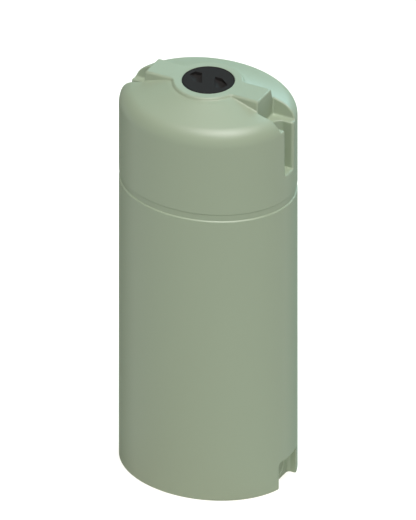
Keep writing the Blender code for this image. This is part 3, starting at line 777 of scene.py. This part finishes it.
def shell_grid(s):
    """Grid for a quarter of the shell, fine where the mouldings turn."""
    floor = s.crown - s.pocket_depth - s.channel_drop
    ledge = s.crown - s.pocket_depth
    half_cell = 0.0015  # the first cell lies across the plane that the quarter is mirrored in
    plain, fine, past_wall = 0.003, 0.0025, 0.006
    pocket_start, channel_edge, pocket_side = 0.288, 0.028, 0.098
    middle = (half_cell, plain)
    xs = grid_lines(-half_cell, middle, (pocket_start, plain), (s.length / 2 + past_wall, fine))
    ys = grid_lines(
        -half_cell, middle, (channel_edge, plain), (pocket_side, fine), (s.width / 2 + past_wall, plain)
    )
    groove_low = s.groove_height - s.groove_breadth / 2 - plain
    groove_high = s.groove_height + s.groove_breadth / 2 + plain
    zs = grid_lines(
        -0.004,
        (0.020, 0.002),  # the base's edge
        (s.notch_height - 0.022, 0.004),
        (s.notch_height + 0.010, plain),  # the notch's top
        (groove_low, 0.070),  # the plain wall
        (groove_high, 0.0015),  # the strap groove
        (floor - 0.008, 0.04),
        (floor + 0.022, fine),  # the channel's floor
        (ledge - 0.016, 0.024),
        (ledge + 0.016, fine),  # the pocket's ledge
        (s.crown - 0.042, plain),  # the shoulder and the dome
        (s.crown + s.seat_depth + 0.003, 0.002),  # the neck, the ring and the spine
    )
    return xs, ys, zs


def neck_thread(s, lid):
    """Ridge of the neck's thread, half a pitch from the lid's, set a little into the bore."""
    bm = bmesh.new()
    sides = 96
    above_ledge, below_seat, buried = 0.010, 0.004, 0.0005
    fading = 6  # the ridge fades in and out over one part in so many of a turn
    low, high = -s.neck_depth + above_ledge, -below_seat
    turns = (high - low) / lid.pitch
    rings = []
    for i in range(ceil(turns * sides) + 1):
        turn = min(i / sides, turns)
        heading = 2 * pi * turn
        height = lid.ridge * min(1.0, turn * fading, (turns - turn) * fading)
        middle = s.crown + low + lid.pitch * turn
        ring = []
        for across, depth in ((-1.0, -buried), (-0.3, height), (0.3, height), (1.0, -buried)):
            r = s.opening_r - depth
            ring.append((r * cos(heading), r * sin(heading), middle + across * lid.pitch / 5))
        rings.append(ring)
    loft_rings(bm, rings, closed_rings=False)
    return mesh_object("neck_thread", bm, smooth=False)


class TANK_OT_shell(bpy.types.Operator):
    """Mould the tank shell, from base to crown, with its pockets, channels, notches and neck"""

    bl_idname = "water_tank.shell"
    bl_label = "Tank shell"

    def execute(self, context):
        s = context.scene.tank_shell
        shell = moulding(
            "tank_moulding",
            lambda x, y, z: tank_field(x, y, z, s),
            shell_grid(s),
            s.triangles,
            quarter=True,
        )
        plastic_skin = tank_plastic(s)
        dress(shell, plastic_skin, "tank", "tank", "tank_shell")
        dress(neck_thread(s, context.scene.tank_lid), plastic_skin, "tank", "tank")
        return {"FINISHED"}


class TANK_OT_lid(bpy.types.Operator):
    """Mould the screw lid with its finger scoops, rim groove and thread"""

    bl_idname = "water_tank.lid"
    bl_label = "Screw lid"

    def execute(self, context):
        s, t = context.scene.tank_lid, context.scene.tank_shell
        past, bowl = 0.002, 0.008  # grid outside the lid, and the foot of the finely netted part
        across = grid_lines(-s.radius - past, (s.radius + past, 0.0012))
        up = grid_lines(
            -skirt_length() - past, (s.top - s.panel - bowl, 0.0014), (s.top + 0.0015, 0.0009)
        )
        lid = moulding(
            "lid_moulding",
            lambda x, y, z: lid_field(x, y, z, s, t),
            (across, across, up),
            s.triangles,
            origin=(0, 0, t.crown),
        )
        dress(lid, lid_plastic(s), "lid", "lid", "screw_lid")
        return {"FINISHED"}


class TANK_OT_gasket(bpy.types.Operator):
    """Turn the lid's gasket, a flat rubber ring with rounded edges"""

    bl_idname = "water_tank.gasket"
    bl_label = "Lid gasket"

    def execute(self, context):
        s = context.scene.tank_lid
        outer, half = GASKET_HIGH.x, (GASKET_HIGH.z - GASKET_LOW.z) / 2
        inner = context.scene.tank_shell.opening_r + (s.radius - s.lip - outer)
        middle_r, middle_z = (outer + inner) / 2, (GASKET_HIGH.z + GASKET_LOW.z) / 2
        half_r = (outer - inner) / 2
        sides, section_points = 160, 24
        squareness = 0.45  # 1 makes the section an oval, 0 a rectangle
        profile = []
        for i in range(section_points):
            a = 2 * pi * i / section_points
            c, d = cos(a), sin(a)
            profile.append((
                middle_r + half_r * abs(c) ** squareness * (1 if c > 0 else -1),
                middle_z + half * abs(d) ** squareness * (1 if d > 0 else -1),
            ))
        bm = bmesh.new()
        rings = [
            [(r * cos(2 * pi * k / sides), r * sin(2 * pi * k / sides), z) for k in range(sides)]
            for r, z in profile
        ]
        loft_rings(bm, rings, closed_rings=True)
        gasket = mesh_object("gasket_ring", bm)
        dress(gasket, gasket_rubber(s), "seal", "gasket", "lid_gasket")
        return {"FINISHED"}


class TANK_OT_strainer(bpy.types.Operator):
    """Mould the slotted basket and weave the screen on its floor"""

    bl_idname = "water_tank.strainer"
    bl_label = "Leaf strainer"

    def execute(self, context):
        s, t = context.scene.tank_strainer, context.scene.tank_shell
        cell, fine = 0.0014, 0.001
        across = grid_lines(-cell / 2, (cell / 2, cell), (t.opening_r + 0.003, cell))
        up = grid_lines(
            -s.depth - 0.002,
            (s.floor * 2 - s.depth, fine),  # the floor
            (-0.004, 0.0022),  # the side
            (0.005, fine),  # the flange
        )
        basket = moulding(
            "basket_moulding",
            lambda x, y, z: basket_field(x, y, z, s, t),
            (across, across, up),
            s.triangles,
            origin=(0, 0, t.crown - t.neck_depth),
            quarter=True,
        )
        dress(basket, basket_plastic(s), "strainer", "basket", "strainer_basket")
        screen = woven_screen(s)
        dress(screen, drawn_steel(s), "strainer", "mesh", "strainer_mesh")
        return {"FINISHED"}


def woven_screen(s):
    """Plain weave of round wires in a folded rim."""
    radius = MESH_HIGH.x
    middle = (MESH_LOW.z + MESH_HIGH.z) / 2
    rim_r = 0.0006
    wire_sides, rim_sides, hoop_sides = 3, 8, 96
    hoop = radius - rim_r
    bm = bmesh.new()
    reach = int(hoop / s.wire_pitch)
    for direction in (0, 1):
        for i in range(-reach, reach + 1):
            off = i * s.wire_pitch
            half = sqrt(max(hoop * hoop - off * off, 0.0))
            steps = max(2, round(2 * half / s.wire_pitch) * 2)
            rings = []
            for k in range(steps + 1):
                along = -half + 2 * half * k / steps
                swing = cos(pi * along / s.wire_pitch) * (1 if (i + direction) % 2 else -1)
                z = middle + s.wire_r * swing
                ring = []
                for q in range(wire_sides):
                    a = 2 * pi * q / wire_sides
                    side, lift = off + s.wire_r * cos(a), z + s.wire_r * sin(a)
                    ring.append((along, side, lift) if direction == 0 else (side, along, lift))
                rings.append(ring)
            loft_rings(bm, rings, closed_rings=False)
    rings = []
    for k in range(hoop_sides):
        a = 2 * pi * k / hoop_sides
        ring = []
        for q in range(rim_sides):
            b = 2 * pi * q / rim_sides
            r = hoop + rim_r * cos(b)
            ring.append((r * cos(a), r * sin(a), middle + rim_r * sin(b)))
        rings.append(ring)
    loft_rings(bm, rings, closed_rings=True)
    return mesh_object("woven_screen", bm)


# Studio

FLOOR_HALF = 30.0


def direction(azimuth, elevation):
    """From the tank towards a place at an azimuth round from the front and an elevation."""
    return Vector((sin(azimuth) * cos(elevation), -cos(azimuth) * cos(elevation), sin(elevation)))


def add_sun(name, azimuth, elevation, strength, tone, softness, casts_shadow=True):
    lamp = bpy.data.lights.new(name, "SUN")
    lamp.use_shadow = casts_shadow
    lamp.energy = strength
    lamp.color = tone
    lamp.angle = softness
    obj = bpy.data.objects.new(name, lamp)
    obj.rotation_euler = direction(azimuth, elevation).to_track_quat("Z", "Y").to_euler()
    bpy.context.scene.collection.objects.link(obj)


def add_camera(s):
    """Parallel camera at the photograph's angle."""
    back = direction(s.azimuth, s.elevation)
    right = Vector((cos(s.azimuth), sin(s.azimuth), 0))
    up = back.cross(right)
    camera = bpy.data.cameras.new("camera")
    camera.type = "ORTHO"
    camera.ortho_scale = s.view_height
    camera.clip_end = 4 * s.distance
    obj = bpy.data.objects.new("camera", camera)
    basis = Matrix((right, up, back)).transposed().to_4x4()
    basis.translation = up * s.aim - right * s.shift + back * s.distance
    obj.matrix_world = basis
    bpy.context.scene.collection.objects.link(obj)
    bpy.context.scene.camera = obj


def floor_material(s):
    """Pale floor that reads as white in the view and keeps the tank's shadow."""
    material, tree, shader = clean_material("studio floor")
    speck = node(tree, "ShaderNodeTexNoise", {"Scale": 2.0, "Detail": 3.0}).outputs["Fac"]
    tone = mixed_colour(tree, speck, shade(s.floor_tone, 0.995), shade(s.floor_tone, 1.005))
    tree.links.new(tone, shader.inputs["Base Color"])
    shader.inputs["Roughness"].default_value = 0.9
    shader.inputs["Specular IOR Level"].default_value = 0.1
    seen = node(tree, "ShaderNodeLightPath").outputs["Is Camera Ray"]
    lift = node(tree, "ShaderNodeMath", {0: seen, 1: s.floor_lift}, operation="MULTIPLY")
    shader.inputs["Emission Color"].default_value = (1, 1, 1, 1)
    tree.links.new(lift.outputs[0], shader.inputs["Emission Strength"])
    return material


def studio_world(s):
    """Even light from all round, white where the camera sees it."""
    world = bpy.data.worlds.new("studio")
    world.use_nodes = True
    tree = world.node_tree
    background = tree.nodes["Background"]
    background.inputs["Color"].default_value = (1.0, 1.0, 1.0, 1.0)
    seen = node(tree, "ShaderNodeLightPath").outputs["Is Camera Ray"]
    strength = node(tree, "ShaderNodeMix", {0: seen, 2: s.sky, 3: 1.0}, data_type="FLOAT")
    tree.links.new(strength.outputs[0], background.inputs["Strength"])
    bpy.context.scene.world = world


class TANK_OT_studio(bpy.types.Operator):
    """Set up the camera, the soft lights and the pale floor"""

    bl_idname = "water_tank.studio"
    bl_label = "Studio"

    def execute(self, context):
        s = context.scene.tank_studio
        add_camera(s)
        add_sun("key", s.key_azimuth, s.key_elevation, s.key, s.key_tone, s.key_breadth)
        add_sun("wash", s.key_azimuth, s.key_elevation, s.wash, s.key_tone, s.key_breadth, False)
        add_sun("fill", s.fill_azimuth, s.fill_elevation, s.fill, s.fill_tone, s.fill_breadth, False)
        add_sun("rim", s.rim_azimuth, s.rim_elevation, s.rim, s.rim_tone, s.rim_breadth)
        studio_world(s)
        bm = bmesh.new()
        bmesh.ops.create_grid(bm, x_segments=8, y_segments=8, size=FLOOR_HALF)
        floor = mesh_object("floor", bm, smooth=False)
        floor.data.materials.append(floor_material(s))
        context.scene.view_settings.view_transform = "Standard"
        return {"FINISHED"}


class TANK_PT_panel(bpy.types.Panel):
    """Pieces of the water tank, in the order in which they are made"""

    bl_idname = "TANK_PT_panel"
    bl_label = "Water tank"
    bl_space_type = "VIEW_3D"
    bl_region_type = "UI"
    bl_category = "Water tank"

    def draw(self, context):
        for operator in OPERATORS:
            self.layout.operator(operator.bl_idname)


PROPERTY_GROUPS = {
    "tank_shell": ShellSizes,
    "tank_lid": LidSizes,
    "tank_strainer": StrainerSizes,
    "tank_studio": StudioSettings,
}
OPERATORS = (TANK_OT_shell, TANK_OT_strainer, TANK_OT_gasket, TANK_OT_lid, TANK_OT_studio)


def register():
    for cls in (*PROPERTY_GROUPS.values(), *OPERATORS, TANK_PT_panel):
        bpy.utils.register_class(cls)
    for name, group in PROPERTY_GROUPS.items():
        setattr(bpy.types.Scene, name, PointerProperty(type=group))


def unregister():
    for name in PROPERTY_GROUPS:
        delattr(bpy.types.Scene, name)
    for cls in reversed((*PROPERTY_GROUPS.values(), *OPERATORS, TANK_PT_panel)):
        bpy.utils.unregister_class(cls)


def main():
    register()
    bpy.ops.water_tank.shell()
    bpy.ops.water_tank.strainer()
    bpy.ops.water_tank.gasket()
    bpy.ops.water_tank.lid()
    bpy.ops.water_tank.studio()


if __name__ == "__main__":
    main()
